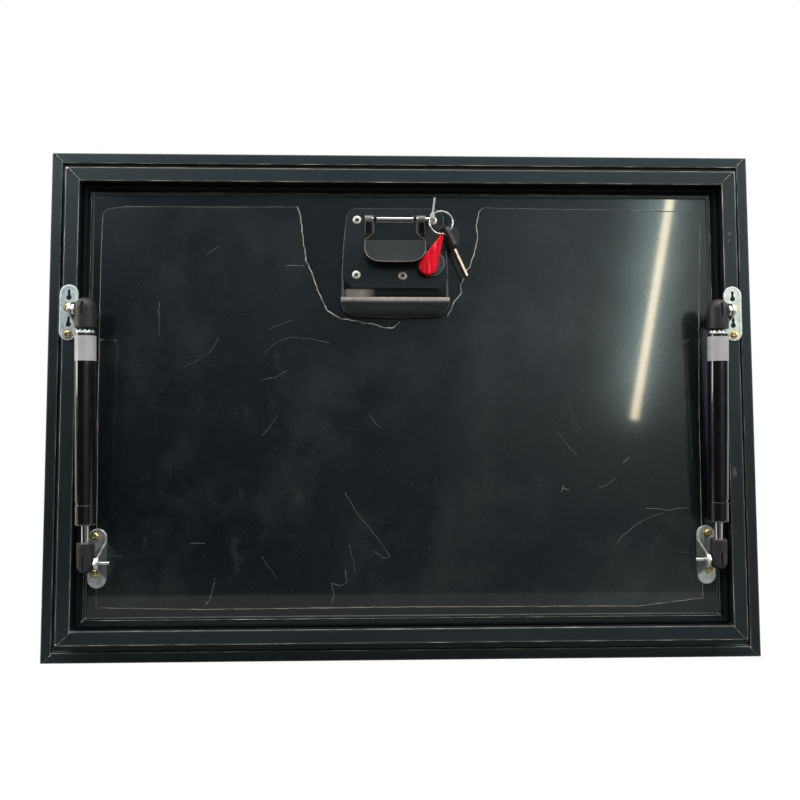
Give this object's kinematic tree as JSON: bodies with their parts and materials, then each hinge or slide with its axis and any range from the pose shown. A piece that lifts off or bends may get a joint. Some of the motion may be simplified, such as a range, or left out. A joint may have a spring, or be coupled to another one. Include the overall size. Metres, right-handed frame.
{
  "type": "cargo hatch door",
  "caption": "Framed cargo hatch door for a camper: recessed leaf with paddle lock and keys, bottom hinge and gas struts that hold it open.",
  "frame": {"origin": "middle of the lower edge of the flange's back face, which seats on the vehicle's wall", "axes": "+X along the hinge, +Y to the outside of the vehicle, +Z from the hinge edge to the lock edge"},
  "size_m": [0.7, 0.0688, 0.5],
  "materials": {
    "frame_coat": "satin black powder coat on aluminium extrusion",
    "leaf_rail_coat": "satin black powder coat on aluminium extrusion",
    "outer_skin_coat": "satin black coated aluminium sheet",
    "inner_panel_gloss": "gloss black coated aluminium sheet",
    "hinge_coat": "satin black",
    "seal_rubber": "matte black rubber",
    "zinc_plate": "zinc plated pressed steel",
    "bright_steel": "bright steel",
    "rod_chrome": "hard chrome",
    "tube_paint": "gloss black paint",
    "fitting_plastic": "black moulded nylon",
    "lock_coat": "satin black coat on cast metal",
    "key_brass": "worn nickel on brass",
    "tie_plastic": "pale nylon",
    "tag_red": "clear red moulded plastic",
    "key_bow_plastic": "black moulded plastic"
  },
  "bodies": {
    "frame": {"frame_bottom_rail": "frame_coat", "seal_bottom": "seal_rubber", "frame_top_rail": "frame_coat", "seal_top": "seal_rubber", "frame_left_rail": "frame_coat", "seal_left": "seal_rubber", "frame_right_rail": "frame_coat", "seal_right": "seal_rubber", "left_upper_bracket": "zinc_plate", "right_upper_bracket": "zinc_plate", "hinge_frame_plate": "hinge_coat", "hinge_pin": "bright_steel"},
    "leaf": {"leaf_bottom_rail": "leaf_rail_coat", "leaf_top_rail": "leaf_rail_coat", "leaf_left_rail": "leaf_rail_coat", "leaf_right_rail": "leaf_rail_coat", "leaf_outer_skin": "outer_skin_coat", "leaf_inner_panel": "inner_panel_gloss", "left_lower_bracket": "zinc_plate", "left_lower_stud": "bright_steel", "right_lower_bracket": "zinc_plate", "right_lower_stud": "bright_steel", "hinge_leaf_plate": "hinge_coat", "lock_plate": "lock_coat", "paddle_pin": "rod_chrome", "cylinder_housing": "rod_chrome", "key_ring": "bright_steel", "cable_tie": "tie_plastic", "key_tag": "tag_red", "edge_key": "key_brass", "flat_key": "key_bow_plastic"},
    "paddle": {"lock_paddle": "lock_coat"},
    "plug": {"cylinder_plug": "key_brass"},
    "left_strut_rod": {"left_rod": "rod_chrome", "left_lower_fitting": "fitting_plastic"},
    "left_strut_tube": {"left_tube": "tube_paint", "left_upper_fitting": "fitting_plastic", "left_upper_stud": "bright_steel"},
    "right_strut_rod": {"right_rod": "rod_chrome", "right_lower_fitting": "fitting_plastic"},
    "right_strut_tube": {"right_tube": "tube_paint", "right_upper_fitting": "fitting_plastic", "right_upper_stud": "bright_steel"}
  },
  "joints": [
    {"name": "leaf_hinge", "type": "hinge", "parent": "frame", "child": "leaf", "pos_m": [0, 0.0195, 0.03625], "axis": [-1, 0, 0], "range_deg": [0, 90]},
    {"name": "paddle_hinge", "type": "hinge", "parent": "leaf", "child": "paddle", "pos_m": [-0.009, -0.014, 0.431], "axis": [-1, 0, 0], "range_deg": [0, 40], "stiffness_Nm_per_rad": 0.25, "springref_deg": -17.19},
    {"name": "plug_turn", "type": "hinge", "parent": "leaf", "child": "plug", "pos_m": [0.0272, -0.008, 0.3876], "axis": [0, 1, 0], "range_deg": [0, 90]},
    {"name": "left_rod_swing", "type": "hinge", "parent": "leaf", "child": "left_strut_rod", "pos_m": [-0.301, -0.022, 0.098], "axis": [-1, 0, 0], "range_deg": [-111.05, 0]},
    {"name": "left_tube_slide", "type": "slide", "parent": "left_strut_rod", "child": "left_strut_tube", "axis": [0, -0.0587, 0.9983], "range_m": [0, 0.04521]},
    {"name": "right_rod_swing", "type": "hinge", "parent": "leaf", "child": "right_strut_rod", "pos_m": [0.301, -0.022, 0.098], "axis": [-1, 0, 0], "range_deg": [-111.05, 0]},
    {"name": "right_tube_slide", "type": "slide", "parent": "right_strut_rod", "child": "right_strut_tube", "axis": [0, -0.0587, 0.9983], "range_m": [0, 0.04521]}
  ],
  "couplings": [
    {"joint": "left_rod_swing", "follows": "leaf_hinge", "ratio": -1.2339},
    {"joint": "left_tube_slide", "follows": "leaf_hinge", "m_per_rad": 0.028781},
    {"joint": "right_rod_swing", "follows": "leaf_hinge", "ratio": -1.2339},
    {"joint": "right_tube_slide", "follows": "leaf_hinge", "m_per_rad": 0.028781}
  ]
}
